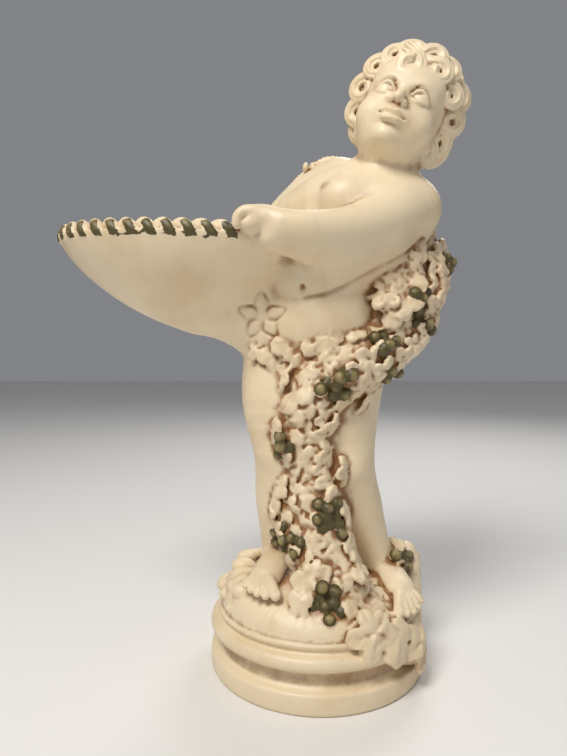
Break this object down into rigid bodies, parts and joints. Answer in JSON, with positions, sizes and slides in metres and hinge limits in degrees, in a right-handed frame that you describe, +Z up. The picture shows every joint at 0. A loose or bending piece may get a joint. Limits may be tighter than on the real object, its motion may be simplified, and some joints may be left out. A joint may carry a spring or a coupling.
{
  "type": "cherub garden statue",
  "caption": "Standing cherub statue on a round moulded plinth, holding a shallow oval bowl with a rope rim, with a grapevine garland over the back, hip and legs",
  "frame": {"origin": "centre of the round underside of the plinth, on the ground", "axes": "+Z up, +X to the cherub's left, -Y the front that the bowl and face are seen from"},
  "size_m": [0.4302, 0.227, 0.6514],
  "materials": {
    "painted_plaster": "satin ivory paint with umber wash in the hollows and olive bronze on grapes and rope"
  },
  "bodies": {
    "root": {"cherub_statue": "painted_plaster"}
  },
  "joints": []
}
